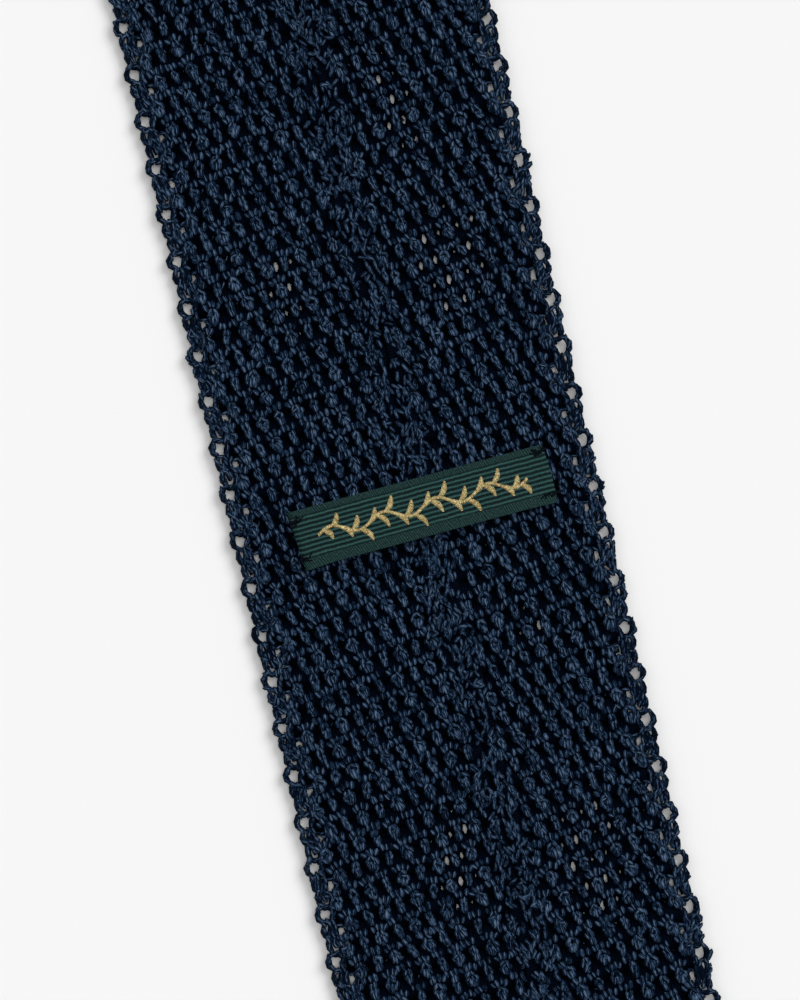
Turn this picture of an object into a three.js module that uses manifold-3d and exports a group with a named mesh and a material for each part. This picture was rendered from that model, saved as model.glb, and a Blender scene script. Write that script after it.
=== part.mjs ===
// A knitted silk necktie laid flat with its back up. One knitted strip is folded into a flat tube, its
// two cut edges meet under a raised seam down the back, and a ribbon across the wide end keeps the tail.
// Millimetres. X is the tie's width, Y runs from the wide tip to the narrow tail, Z is up.
import * as THREE from 'three';
import { mergeVertices } from 'three/addons/utils/BufferGeometryUtils.js';
import Module from 'manifold-3d';

// Lengths of the stretches along the tie, from the wide tip to the tail
const bladeLength = 400;
const bladeTaper = 160;
const neckLength = 440;
const tailTaper = 150;
const tailLength = 300;
const tieLength = bladeLength + bladeTaper + neckLength + tailTaper + tailLength;

// Widths over the tips of the picot loops
const bladeWidth = 64;
const neckWidth = 36;
const tailWidth = 50;

// The knitted cloth, folded double
const plyThickness = 1.4;
const plyGap = 0.4;
const bodyHeight = 2 * plyThickness + plyGap;
const endHem = 3;
const edgeSteps = 4;

// The picot edge: one loop to each pitch, and how far the edge falls back between two loops
const picotPitch = 8.1;
const picotDepth = 1.0;

// The seam down the middle of the back
const slitWidth = 0.6;
const seamWidth = 6;
const seamHeight = 0.8;
const seamInset = 2;
const seamWaver = 0.35;
const seamWaverPitch = 41;
const seamStep = 12;
const seamSteps = 5;

// The keeper ribbon
const ribbonLength = 44.6;
const ribbonWidth = 10;
const ribbonThickness = 1;
const ribbonHem = 5;
const ribbonFromTip = 250;
const ribbonAside = 1.2;
const ribbonTilt = 2.35;
const foldSegments = 5;

// The air between pieces that touch
const clearance = 0.3;

// How far the hollow's stations lie apart, which is also how finely the slit follows the seam
const hollowStep = 40;

// The tie's full width at each change of its outline, by the distance from the wide tip
const outline = [
  { along: 0, width: bladeWidth },
  { along: bladeLength, width: bladeWidth },
  { along: bladeLength + bladeTaper, width: neckWidth },
  { along: bladeLength + bladeTaper + neckLength, width: neckWidth },
  { along: tieLength - tailLength, width: tailWidth },
  { along: tieLength, width: tailWidth },
];

// The seam's wander from the middle: along is a share of the tie's length, drift of its half width
const seamDrift = [
  { along: 0, drift: 0.06 },
  { along: 0.11, drift: 0.11 },
  { along: 0.17, drift: 0.04 },
  { along: 0.235, drift: -0.01 },
  { along: 0.4, drift: 0.04 },
  { along: 0.6, drift: -0.04 },
  { along: 0.8, drift: 0.03 },
  { along: 1, drift: 0 },
];

const wasm = await Module();
wasm.setup();

// Reads one column of a table at a place along it, easing smoothly from row to row
function readTable(table, column, along) {
  const last = table.length - 1;
  const next = Math.max(1, table.findIndex((row, i) => i === last || row.along >= along));
  const a = table[next - 1];
  const b = table[next];
  const t = THREE.MathUtils.smoothstep(along, a.along, b.along);
  return THREE.MathUtils.lerp(a[column], b[column], t);
}

const halfWidthAt = (y) => readTable(outline, 'width', y + tieLength / 2) / 2;
const seamAt = (y) => readTable(seamDrift, 'drift', y / tieLength + 0.5) * halfWidthAt(y);

// Places from one end to the other, evenly spaced and about a step apart
function places(from, to, step) {
  const count = Math.max(1, Math.round((to - from) / step));
  return Array.from({ length: count + 1 }, (_, i) => from + ((to - from) * i) / count);
}

// A ring across the tie with half-round sides, anticlockwise as seen from the wide tip
function roundedRing(y, left, right, low, high, steps) {
  const radius = (high - low) / 2;
  const ring = [];
  for (const [centre, start] of [[right - radius, -Math.PI / 2], [left + radius, Math.PI / 2]]) {
    for (let i = 0; i <= steps; i += 1) {
      const angle = start + (Math.PI * i) / steps;
      ring.push([centre + radius * Math.cos(angle), y, low + radius * (1 + Math.sin(angle))]);
    }
  }
  return ring;
}

// A ring with four square corners
function squareRing(y, left, right, low, high) {
  return [[left, y, low], [right, y, low], [right, y, high], [left, y, high]];
}

// A half-round ridge on a flat base
function ridgeRing(y, centre, halfWidth, base, height) {
  return Array.from({ length: seamSteps + 1 }, (_, i) => {
    const angle = (Math.PI * i) / seamSteps;
    return [centre + halfWidth * Math.cos(angle), y, base + height * Math.sin(angle)];
  });
}

// Joins rings of equal size into one closed skin with flat ends
function loft(rings) {
  const size = rings[0].length;
  const faces = [];
  for (let i = 0; i + 1 < rings.length; i += 1) {
    for (let j = 0; j < size; j += 1) {
      const a = i * size + j;
      const b = i * size + ((j + 1) % size);
      faces.push(a, b + size, b, a, a + size, b + size);
    }
  }
  const end = (rings.length - 1) * size;
  for (let j = 1; j + 1 < size; j += 1) {
    faces.push(0, j, j + 1, end, end + j + 1, end + j);
  }
  const geometry = new THREE.BufferGeometry();
  geometry.setAttribute('position', new THREE.Float32BufferAttribute(rings.flat(2), 3));
  geometry.setIndex(faces);
  return geometry;
}

function toSolid(geometry) {
  geometry.deleteAttribute('normal');
  geometry.deleteAttribute('uv');
  const merged = mergeVertices(geometry);
  const mesh = new wasm.Mesh({
    numProp: 3,
    vertProperties: merged.attributes.position.array,
    triVerts: new Uint32Array(merged.index.array),
  });
  return new wasm.Manifold(mesh);
}

function toGeometry(solid) {
  const mesh = solid.getMesh();
  const geometry = new THREE.BufferGeometry();
  geometry.setAttribute('position', new THREE.BufferAttribute(mesh.vertProperties, 3));
  geometry.setIndex(new THREE.BufferAttribute(mesh.triVerts, 1));
  geometry.computeVertexNormals();
  return geometry;
}

// The folded strip: the outer skin, less the flat hollow between the plies and the slit into it
function knitBody() {
  const half = tieLength / 2;
  const skin = places(-half, half, picotPitch / 2).map((y, i) => {
    const left = -halfWidthAt(y) + (i % 2 === 0 ? 0 : picotDepth);
    const right = halfWidthAt(y) - (i % 2 === 0 ? picotDepth : 0);
    return roundedRing(y, left, right, 0, bodyHeight, edgeSteps);
  });
  const inner = places(-half + endHem, half - endHem, hollowStep);
  const hollow = inner.map((y) => {
    const reach = halfWidthAt(y) - picotDepth - plyThickness;
    return roundedRing(y, -reach, reach, plyThickness, plyThickness + plyGap, 2);
  });
  const slit = inner.map((y) => {
    const left = seamAt(y) - slitWidth / 2;
    return squareRing(y, left, left + slitWidth, bodyHeight / 2, bodyHeight + clearance);
  });
  const solid = toSolid(loft(skin)).subtract(toSolid(loft(hollow))).subtract(toSolid(loft(slit)));
  return toGeometry(solid);
}

// The raised seam, a little wider and narrower in turn
function centreBackSeam() {
  const half = tieLength / 2 - seamInset;
  const base = bodyHeight + clearance;
  const rings = places(-half, half, seamStep).map((y) => {
    const waver = seamWaver * Math.sin((2 * Math.PI * y) / seamWaverPitch);
    return ridgeRing(y, seamAt(y), seamWidth / 2 + waver, base, seamHeight);
  });
  const geometry = loft(rings);
  geometry.computeVertexNormals();
  return geometry;
}

// The ribbon: a band over the seam, each end folded under and lying on the cloth. X is its length.
function keeperRibbon() {
  const base = bodyHeight + clearance;
  const under = base + seamHeight + clearance;
  const top = under + ribbonThickness;
  const end = ribbonLength / 2;
  const hem = end - ribbonHem;
  const fold = (top - base) / 2;
  const profile = new THREE.Shape();
  profile.moveTo(-hem, base);
  profile.lineTo(-hem, under);
  profile.lineTo(hem, under);
  profile.lineTo(hem, base);
  profile.absarc(end - fold, base + fold, fold, -Math.PI / 2, Math.PI / 2);
  profile.absarc(-end + fold, base + fold, fold, Math.PI / 2, (3 * Math.PI) / 2);
  const geometry = new THREE.ExtrudeGeometry(profile, {
    depth: ribbonWidth,
    bevelEnabled: false,
    curveSegments: foldSegments,
  });
  geometry.rotateX(Math.PI / 2);
  geometry.translate(0, ribbonWidth / 2, 0);
  return geometry;
}

const navySilk = new THREE.MeshStandardMaterial({ color: 0x111a26, roughness: 0.55, metalness: 0 });
const navySeam = new THREE.MeshStandardMaterial({ color: 0x15202e, roughness: 0.6, metalness: 0 });
const greenRibbon = new THREE.MeshStandardMaterial({ color: 0x1b3233, roughness: 0.7, metalness: 0 });

function piece(name, geometry, material) {
  const mesh = new THREE.Mesh(geometry, material);
  mesh.name = name;
  return mesh;
}

const tie = new THREE.Group();
const ribbon = piece('keeper_ribbon', keeperRibbon(), greenRibbon);
ribbon.position.set(ribbonAside, ribbonFromTip - tieLength / 2, 0);
ribbon.rotation.z = THREE.MathUtils.degToRad(ribbonTilt);
tie.add(
  piece('knit_body', knitBody(), navySilk),
  piece('centre_back_seam', centreBackSeam(), navySeam),
  ribbon,
);

export default tie;
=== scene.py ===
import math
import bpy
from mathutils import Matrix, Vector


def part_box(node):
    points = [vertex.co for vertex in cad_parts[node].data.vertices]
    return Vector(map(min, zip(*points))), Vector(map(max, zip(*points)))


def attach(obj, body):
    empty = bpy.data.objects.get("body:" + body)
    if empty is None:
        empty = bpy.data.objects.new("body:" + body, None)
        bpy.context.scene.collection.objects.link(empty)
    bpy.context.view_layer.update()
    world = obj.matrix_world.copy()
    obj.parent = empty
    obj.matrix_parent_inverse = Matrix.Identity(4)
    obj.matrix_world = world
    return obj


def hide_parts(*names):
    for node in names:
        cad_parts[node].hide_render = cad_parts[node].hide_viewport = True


bl_info = {
    "name": "Knit Tie",
    "version": (1, 0, 0),
    "blender": (4, 5, 0),
    "location": "View3D > Sidebar > Knit Tie",
    "description": "Dresses a flat-laid knitted silk tie: stitches, picot edges, back seam and ribbon keeper",
    "category": "Object",
}

import bpy
import numpy as np

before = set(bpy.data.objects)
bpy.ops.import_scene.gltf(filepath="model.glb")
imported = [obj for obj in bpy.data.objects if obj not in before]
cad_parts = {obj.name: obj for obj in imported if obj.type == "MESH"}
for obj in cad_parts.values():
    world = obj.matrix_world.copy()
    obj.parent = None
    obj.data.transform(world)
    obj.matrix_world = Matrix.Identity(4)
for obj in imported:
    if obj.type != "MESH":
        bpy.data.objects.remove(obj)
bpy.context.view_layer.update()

MM = 0.001
UP = np.array([0.0, 0.0, 1.0])


# Places read from the frame
def corners_of(mesh):
    """The corners of a mesh, a row of X, Y and Z for each."""
    corners = np.empty(len(mesh.vertices) * 3)
    mesh.vertices.foreach_get("co", corners)
    return corners.reshape(-1, 3)


def read_rings(node):
    """The distance along the tie, middle and half width of each ring of a CAD node."""
    corners = corners_of(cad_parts[node].data)
    along = np.round(corners[:, 1], 5)
    height = np.ptp(corners[:, 2])
    rings = [corners[along == y] for y in np.unique(along)]
    full_height = 0.9 * height
    rings = [ring for ring in rings if np.ptp(ring[:, 2]) > full_height]
    places = np.array([ring[0, 1] for ring in rings])
    low = np.array([ring[:, 0].min() for ring in rings])
    high = np.array([ring[:, 0].max() for ring in rings])
    return places, (low + high) / 2, np.maximum(high, -low)


BODY_LOW, BODY_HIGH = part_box("knit_body")
RIBBON_LOW, RIBBON_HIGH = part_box("keeper_ribbon")
HALF_LENGTH = BODY_HIGH[1]
MIDDLE_Z = (BODY_LOW[2] + BODY_HIGH[2]) / 2
BODY_Y, _, BODY_HALF = read_rings("knit_body")
SEAM_Y, SEAM_X, _ = read_rings("centre_back_seam")
RIBBON_X = (RIBBON_LOW[0] + RIBBON_HIGH[0]) / 2
RIBBON_Y = (RIBBON_LOW[1] + RIBBON_HIGH[1]) / 2


def half_width(y):
    return np.interp(y, BODY_Y, BODY_HALF)


def seam_middle(y):
    return np.interp(y, SEAM_Y, SEAM_X)


# Stitch charts, in millimetres: one row is one visible bit of yarn, which rises out of the cloth at
# its first end, arches over and dives in again at the other
X0, Y0, X1, Y1, BOW, RADIUS, TOP = range(7)

WIDE_STITCHES = (
    # a ring round a dark slit, over three lobes
    (
        (-0.10, 1.38, -0.62, 0.58, 0.06, 0.45, 1.02),
        (0.14, 1.36, 0.66, 0.54, -0.06, 0.45, 1.00),
        (-0.66, 0.82, -0.82, -0.36, -0.08, 0.43, 0.98),
        (0.70, 0.78, 0.84, -0.40, 0.08, 0.43, 0.96),
        (-0.26, 0.26, -0.36, -0.74, 0.00, 0.39, 0.90),
        (0.34, 0.20, 0.38, -0.70, 0.00, 0.39, 0.90),
        (-0.62, -0.34, -0.42, -1.36, 0.05, 0.47, 1.12),
        (-0.04, -0.44, 0.02, -1.56, 0.00, 0.49, 1.22),
        (0.54, -0.36, 0.42, -1.40, 0.00, 0.47, 1.10),
    ),
    # an open fork over two broad lobes
    (
        (-0.16, 1.34, -0.50, 0.36, -0.05, 0.47, 1.00),
        (0.20, 1.38, 0.54, 0.40, 0.05, 0.46, 0.98),
        (-0.60, 0.62, -0.92, -0.42, -0.06, 0.42, 0.90),
        (0.62, 0.60, 0.94, -0.36, 0.06, 0.42, 0.90),
        (0.02, 0.46, 0.00, -0.50, 0.00, 0.35, 0.78),
        (-0.44, -0.10, -0.56, -1.30, -0.06, 0.51, 1.20),
        (0.30, -0.14, 0.46, -1.34, 0.08, 0.51, 1.18),
        (-0.06, -0.70, -0.04, -1.62, 0.00, 0.43, 1.08),
        (0.88, -0.46, 0.64, -1.30, 0.00, 0.39, 0.88),
    ),
    # one long arm, a knot and a crescent beside it
    (
        (-0.22, 1.36, -0.46, 0.24, -0.10, 0.47, 1.00),
        (-0.54, 0.44, -0.42, -0.66, -0.06, 0.45, 1.00),
        (0.16, 1.40, 0.60, 0.62, 0.08, 0.43, 0.98),
        (0.08, 0.60, 0.80, 0.26, -0.20, 0.43, 1.12),
        (0.76, 0.30, 0.82, -0.74, 0.08, 0.43, 0.98),
        (-0.82, 0.40, -0.90, -0.70, 0.00, 0.39, 0.84),
        (-0.50, -0.56, -0.30, -1.46, 0.05, 0.47, 1.16),
        (0.08, -0.36, 0.10, -1.56, 0.00, 0.48, 1.22),
        (0.56, -0.60, 0.44, -1.40, 0.00, 0.45, 1.06),
    ),
)

NARROW_STITCHES = (
    # a knot under a little fork
    (
        (-0.10, 1.36, -0.38, 0.42, -0.05, 0.43, 0.98),
        (0.20, 1.34, 0.44, 0.46, 0.05, 0.42, 0.96),
        (-0.42, 0.56, -0.32, -0.48, -0.06, 0.43, 1.00),
        (0.44, 0.56, 0.38, -0.44, 0.06, 0.42, 0.98),
        (-0.24, -0.36, -0.14, -1.38, 0.00, 0.47, 1.16),
        (0.22, -0.40, 0.18, -1.46, 0.00, 0.47, 1.14),
    ),
    # a slim ring with two lobes below
    (
        (0.06, 1.36, -0.36, 0.66, 0.05, 0.43, 0.96),
        (0.10, 1.34, 0.48, 0.62, -0.05, 0.43, 0.96),
        (-0.44, 0.76, -0.40, -0.34, -0.05, 0.43, 0.98),
        (0.48, 0.74, 0.42, -0.38, 0.05, 0.43, 0.98),
        (-0.24, -0.24, -0.26, -1.34, 0.00, 0.47, 1.14),
        (0.20, -0.28, 0.18, -1.46, 0.00, 0.47, 1.14),
    ),
    # two uprights and a low knot
    (
        (-0.22, 1.32, -0.30, 0.22, -0.08, 0.45, 1.00),
        (0.20, 1.36, 0.34, 0.32, 0.08, 0.44, 0.98),
        (-0.32, 0.30, -0.18, -0.70, 0.00, 0.44, 1.00),
        (0.36, 0.26, 0.32, -0.74, 0.05, 0.43, 0.98),
        (-0.18, -0.56, -0.08, -1.42, 0.00, 0.47, 1.12),
        (0.22, -0.50, 0.24, -1.46, 0.00, 0.49, 1.16),
    ),
)

# The low yarn of a stitch: the pad under its lobes, and the dashes above it
WIDE_GROUND = (
    (0.00, 0.06, 0.00, -1.64, 0.00, 0.80, 0.70),
    (-1.38, 2.10, -0.92, 1.12, 0.05, 0.45, 0.90),
    (-0.48, 2.50, -0.30, 1.32, 0.00, 0.46, 0.96),
    (0.46, 2.52, 0.32, 1.34, 0.00, 0.46, 0.96),
    (1.34, 2.12, 0.92, 1.14, 0.05, 0.45, 0.90),
)
NARROW_GROUND = (
    (0.00, 0.04, 0.02, -1.50, 0.00, 0.64, 0.66),
    (-1.10, 2.62, -0.96, 1.40, 0.05, 0.46, 0.92),
    (-0.26, 2.50, -0.12, 1.26, 0.00, 0.46, 0.90),
    (0.80, 2.56, 0.62, 1.30, 0.00, 0.46, 0.90),
)

# The plain charts of the stretches that the photograph doesn't show
FAR_WIDE = ((-0.72, 1.15, 0.74, 1.15, -2.20, 0.78, 1.05),)
FAR_NARROW = ((-0.40, 1.15, 0.42, 1.15, -2.10, 0.66, 1.00),)

# One picot of the edge, in millimetres: in from the edge, along it and up from the middle
PICOT_STRANDS = (
    (0.50, ((1.75, 1.75, 0.2), (0.95, 1.15, 0.3), (0.55, 0.25, 0.3), (0.62, -0.55, 0.3),
            (1.10, -1.15, 0.3), (1.90, -1.60, 0.2))),
    (0.50, ((1.35, -1.10, 0.2), (1.05, -1.90, 0.3), (0.98, -2.70, 0.3), (1.20, -3.45, 0.3),
            (1.60, -4.00, 0.2), (2.00, -4.40, 0.1))),
    (0.52, ((1.90, -3.10, 0.1), (1.50, -4.00, 0.3), (1.32, -4.90, 0.3), (1.40, -5.70, 0.3),
            (1.65, -6.40, 0.2), (2.00, -6.90, 0.1))),
    (0.55, ((2.10, -1.25, 0.1), (2.25, -2.00, 0.3), (2.15, -3.00, 0.3), (2.20, -4.00, 0.3),
            (2.35, -4.90, 0.3), (2.40, -5.90, 0.1))),
    (0.46, ((1.00, 1.45, 0.1), (1.50, 1.35, 0.3), (2.05, 1.22, 0.3), (2.60, 1.25, 0.3),
            (3.10, 1.45, 0.3), (3.60, 1.80, 0.1))),
    (0.48, ((3.45, 1.60, 0.2), (3.42, 0.90, 0.3), (3.30, 0.20, 0.3), (3.00, -0.50, 0.3),
            (2.70, -1.10, 0.3), (2.50, -1.70, 0.1))),
    (0.50, ((3.00, -1.00, 0.1), (3.10, -1.90, 0.3), (3.00, -2.80, 0.3), (2.95, -3.70, 0.3),
            (3.05, -4.50, 0.3), (3.20, -5.30, 0.1))),
    (0.52, ((3.55, -4.70, 0.2), (3.60, -5.40, 0.3), (3.45, -6.10, 0.3), (3.20, -6.70, 0.3),
            (2.90, -7.20, 0.2), (2.60, -7.60, 0.1))),
    (0.40, ((3.60, -2.40, 0.2), (4.35, -2.50, 0.3), (4.82, -3.10, 0.3), (4.85, -3.90, 0.3),
            (4.60, -4.65, 0.3), (4.10, -5.10, 0.2))),
)
FAR_PICOT_STRANDS = (
    (0.56, ((1.60, 2.20, 0.0), (0.62, 0.40, 0.0), (1.10, -1.50, 0.0), (2.20, -2.60, 0.0))),
    (0.56, ((2.40, -1.20, 0.0), (1.10, -2.90, 0.0), (1.10, -4.80, 0.0), (2.00, -6.20, 0.0))),
    (0.95, ((2.60, 2.40, 0.0), (2.90, 0.00, 0.0), (2.50, -3.20, 0.0), (2.70, -6.10, 0.0))),
)

# Where the photograph sees through both plies: across and up from the ribbon's middle, and the
# half width and half length of the spot, in millimetres
THIN_SPOTS = (
    (11.5, 67.0, 3.4, 10.0),
    (-13.0, 40.0, 3.2, 9.0),
    (14.7, 40.0, 7.0, 9.5),
    (14.5, -24.0, 2.2, 4.5),
    (16.0, -65.0, 5.0, 12.0),
    (-6.5, -60.0, 4.0, 10.0),
)


# Kinds of value that a user may change
def length_value(name, description, millimetres):
    return bpy.props.FloatProperty(
        name=name, description=description, default=millimetres * MM, subtype="DISTANCE", unit="LENGTH")


def angle_value(name, description, degrees):
    return bpy.props.FloatProperty(
        name=name, description=description, default=math.radians(degrees), subtype="ANGLE", unit="ROTATION")


def plain_value(name, description, number, measure="NONE"):
    return bpy.props.FloatProperty(name=name, description=description, default=number, unit=measure)


def colour_value(name, description, *parts):
    return bpy.props.FloatVectorProperty(name=name, description=description, default=parts, subtype="COLOR")


class KnitSizes(bpy.types.PropertyGroup):
    """Sizes and colours of the knitted cloth."""

    stitch_pitch: length_value("Stitch pitch", "From one raised stitch to the next along a row", 3.0)
    row_pitch: length_value("Row pitch", "From one row of stitches to the next", 4.05)
    first_stitch: length_value("First stitch", "From the tips of the picots in to the first stitch", 4.25)
    picot_pitch: length_value("Picot pitch", "From one picot loop of the edge to the next", 8.1)
    row_above_picot: length_value("Row above picot", "From a picot's hole up to the row beside it", 1.6)
    left_slant: plain_value("Left slant", "Rise of the rows on the left flap of the back", 0.14)
    right_slant: plain_value("Right slant", "Rise of the rows on the right flap of the back", 0.19)
    front_slant: plain_value("Front slant", "Rise of the rows on the front", -0.03)
    stitch_height: plain_value("Stitch height", "Length of a stitch as a share of its chart's", 0.88)
    looseness: length_value("Looseness", "How far a bit of yarn strays from its place", 0.11)
    detail_reach: length_value("Detail reach", "How far from the ribbon the back is knitted in full", 98)
    # painted shade: the silk in the gaps and down the sides of each strand is painted this near black
    painted_shade_colour: colour_value("Shade colour", "Colour of the silk down in the gaps", 0.0004, 0.0012, 0.0040)
    yarn_colour: colour_value("Yarn colour", "Colour of the silk yarn", 0.010, 0.025, 0.055)
    # the pale plies of the yarn, with the painted sheen of a lit crown
    plies_and_painted_sheen_colour: colour_value("Sheen colour", "Colour of the yarn's raised plies", 0.081, 0.124, 0.190)


class SeamSizes(bpy.types.PropertyGroup):
    """Sizes of the centre back seam."""

    width: length_value("Seam width", "Width of the band of splayed strands", 6.2)
    density: plain_value("Seam density", "Strands to each metre of the detailed seam", 7400)


class RibbonSizes(bpy.types.PropertyGroup):
    """Sizes and colours of the keeper ribbon."""

    length: length_value("Ribbon length", "From fold to fold", 44.6)
    width: length_value("Ribbon width", "Width of the ribbon", 10)
    thickness: length_value("Ribbon thickness", "Thickness of the ribbon", 0.45)
    tilt: angle_value("Ribbon tilt", "Rise of the ribbon to the right", 2.35)
    ribbon_colour: colour_value("Ribbon colour", "Colour of the ribbon's raised ribs", 0.026, 0.076, 0.071)
    # painted shade: the grooves between the ribs are painted this near black
    groove_painted_shade_colour: colour_value("Groove colour", "Colour between the ribs", 0.001, 0.006, 0.007)
    # the thread's own gold, with the painted sheen of a lit crown
    gold_and_painted_sheen_colour: colour_value("Gold thread colour", "Colour of the embroidery thread", 1.0, 0.90, 0.50)
    # the tacking thread's own dark colour, with the painted sheen of a lit crown
    tack_and_painted_sheen_colour: colour_value("Tacking thread colour", "Colour of the corner stitches", 0.006, 0.006, 0.008)


class StageSizes(bpy.types.PropertyGroup):
    """The camera and the floor."""

    photo_pixels: plain_value("Photo scale", "Pixels of the picture to a metre of the tie", 5900)
    aim_x: length_value("Aim across", "Where the picture's middle falls across the tie", -2.3)
    aim_y: length_value("Aim along", "Where the picture's middle falls, up from the ribbon", 2.0)
    roll: angle_value("Camera roll", "Turn of the tie in the picture", 12.8)
    lens: plain_value("Lens", "Focal length", 200, "CAMERA")
    floor_colour: colour_value("Floor colour", "Colour of the pale floor", 0.80, 0.80, 0.80)


# Yarn: closed round strands laid along centre lines, all worked as arrays
def unit(vectors):
    return vectors / np.maximum(np.linalg.norm(vectors, axis=-1, keepdims=True), 1e-12)


def distances(points):
    """How far along a path each of its points is."""
    steps = np.linalg.norm(np.diff(points, axis=0), axis=1)
    return np.concatenate([[0], np.cumsum(steps)])


class Skein:
    """Strands gathered for one joined mesh."""

    def __init__(self):
        self.corners = []
        self.loops = []
        self.sizes = []
        self.maps = []
        self.tints = []
        self.shares = []
        self.count = 0

    def add(self, lines, radii, sides, tints, flatness=1.0, shares=None, heading=None):
        """Adds a closed strand along each of lines (strands, rings, XYZ) with radii (strands, rings).

        The shares say where each ring is, from 0 and 1 where a strand dives to 0.5 on its crown. The
        rings lie square to the strand, or to a heading if one is given."""
        strands, rings = lines.shape[:2]
        run = unit(np.gradient(lines, axis=1)) if heading is None else np.full(lines.shape, heading)
        side = unit(np.cross(run, UP))
        lift = np.cross(side, run)
        turn = 2 * math.pi * np.arange(sides) / sides
        round_x = np.cos(turn)[None, None, :, None] * side[:, :, None]
        round_z = flatness * np.sin(turn)[None, None, :, None] * lift[:, :, None]
        corners = lines[:, :, None] + radii[:, :, None, None] * (round_x + round_z)

        steps = np.linalg.norm(np.diff(lines, axis=1), axis=2)
        length = np.concatenate([np.zeros((strands, 1)), np.cumsum(steps, axis=1)], axis=1)
        ring, spoke = np.meshgrid(np.arange(rings - 1), np.arange(sides), indexing="ij")
        here = ring * sides + spoke
        beside = ring * sides + (spoke + 1) % sides
        quads = np.stack([here, here + sides, beside + sides, beside], axis=-1).reshape(-1, 4)
        first = np.arange(sides)
        last = (rings - 1) * sides + first[::-1]
        pattern = np.concatenate([quads.ravel(), first, last])
        starts = self.count + np.arange(strands)[:, None] * rings * sides
        self.loops.append((starts + pattern[None]).ravel())
        face = np.concatenate([np.full(len(quads), 4), [sides, sides]])
        self.sizes.append(np.tile(face, strands))

        across = np.stack([spoke, spoke, spoke + 1, spoke + 1], axis=-1).reshape(-1) / sides
        across = np.concatenate([across, first / sides, first[::-1] / sides])
        which = np.stack([ring, ring + 1, ring + 1, ring], axis=-1).reshape(-1)
        which = np.concatenate([which, np.zeros(sides, int), np.full(sides, rings - 1)])
        along = length[:, which] / MM
        mapping = np.stack([along, np.broadcast_to(across, along.shape)], axis=-1)
        self.maps.append(mapping.reshape(-1, 2))
        self.tints.append(np.repeat(tints, rings * sides))
        shares = np.full(rings, 0.5) if shares is None else shares
        self.shares.append(np.tile(np.repeat(shares, sides), strands))
        self.corners.append(corners.reshape(-1, 3))
        self.count += strands * rings * sides

    def build(self, name, material, node="knit_body"):
        """Makes the gathered strands one piece, which stands for a node and takes a slot's finish."""
        mesh = bpy.data.meshes.new(name)
        corners = np.concatenate(self.corners)
        loops = np.concatenate(self.loops)
        sizes = np.concatenate(self.sizes)
        mesh.vertices.add(len(corners))
        mesh.vertices.foreach_set("co", corners.ravel())
        mesh.loops.add(len(loops))
        mesh.loops.foreach_set("vertex_index", loops.astype(np.int32))
        mesh.polygons.add(len(sizes))
        starts = np.concatenate([[0], np.cumsum(sizes)[:-1]])
        mesh.polygons.foreach_set("loop_start", starts.astype(np.int32))
        mesh.update(calc_edges=True)
        mesh.shade_smooth()
        layer = mesh.uv_layers.new(name="Yarn")
        layer.data.foreach_set("uv", np.concatenate(self.maps).ravel())
        for label, values in (("tint", self.tints), ("share", self.shares)):
            attribute = mesh.attributes.new(label, "FLOAT", "POINT")
            attribute.data.foreach_set("value", np.concatenate(values))
        piece = bpy.data.objects.new(name, mesh)
        bpy.context.scene.collection.objects.link(piece)
        mesh.materials.append(material)
        return dress(piece, node)


def dress(piece, node):
    """Says what a finished piece rides on and what it stands for, if anything."""
    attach(piece, "root")
    if node:
        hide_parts(node)
    return piece


def stations(rings):
    """Shares of a strand's length for its rings, closer together towards its ends."""
    crowding = 0.8
    t = np.linspace(0, 1, rings)
    return t - crowding * np.sin(2 * math.pi * t) / (2 * math.pi)


def swell(t):
    """How far a strand has risen at each share of its length: steep ends and a flat top."""
    steepness = 4.5
    return np.sqrt(np.clip(steepness * t * (1 - t), 0, 1))


def arches(rows, rings):
    """Centre lines (strands, rings, XYZ) of chart rows: each rises, arches sideways and dives."""
    t = stations(rings)
    start, end = rows[:, (X0, Y0)], rows[:, (X1, Y1)]
    along = end - start
    across = unit(np.stack([-along[:, 1], along[:, 0]], axis=1))
    hump = 4 * t * (1 - t)
    flat = start[:, None] + along[:, None] * t[None, :, None]
    flat = flat + across[:, None] * rows[:, BOW][:, None, None] * hump[None, :, None]
    height = rows[:, TOP][:, None] * swell(t)[None]
    return np.concatenate([flat, height[..., None]], axis=2)


def taper(radius, rings):
    """Radii along each strand, fullest in the middle."""
    at_ends = 0.35
    gain = 0.75
    return radius[:, None] * (at_ends + gain * swell(stations(rings)))[None]


def ripple(x, y, seed):
    """A gentle unevenness of the cloth, from -1 to 1 or so."""
    rng = np.random.default_rng(seed)
    total = np.zeros(np.shape(x))
    for wavelength in (61, 37, 23, 14):
        angle, phase = rng.uniform(0, 2 * math.pi, 2)
        run = x * math.cos(angle) + y * math.sin(angle)
        total += np.sin(2 * math.pi * run / (wavelength * MM) + phase)
    return total / 2


class Ply:
    """One face of the flat tube: cloth coordinates in, places in the frame out."""

    stray = 0.22 * MM
    unevenness = 0.10 * MM
    edge_reach = 4.5 * MM
    edge_flattening = 0.35

    def __init__(self, facing, seed, rise, fullness):
        self.facing = facing
        self.fullness = fullness
        self.base = MIDDLE_Z + facing * rise * MM
        self.seed = seed

    def lay(self, lines):
        x, y, height = lines[..., 0], lines[..., 1], lines[..., 2]
        moved_x = x + self.stray * ripple(x, y, self.seed)
        moved_y = y + self.stray * ripple(x, y, self.seed + 1)
        inward = np.minimum(half_width(y) - np.abs(x), HALF_LENGTH - np.abs(y))
        rounding = np.clip(1 - inward / self.edge_reach, 0, 1) ** 2
        raised = height + self.unevenness * ripple(x, y, self.seed + 2)
        thick = raised * (1 - self.edge_flattening * rounding) * self.fullness
        return np.stack([moved_x, moved_y, self.base + self.facing * thick], axis=-1)


BACK = Ply(1, 11, 0.10, 1.0)
FRONT = Ply(-1, 23, 0.10, 0.8)
SEAM_PLY = Ply(1, 11, 0.85, 1.0)


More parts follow.
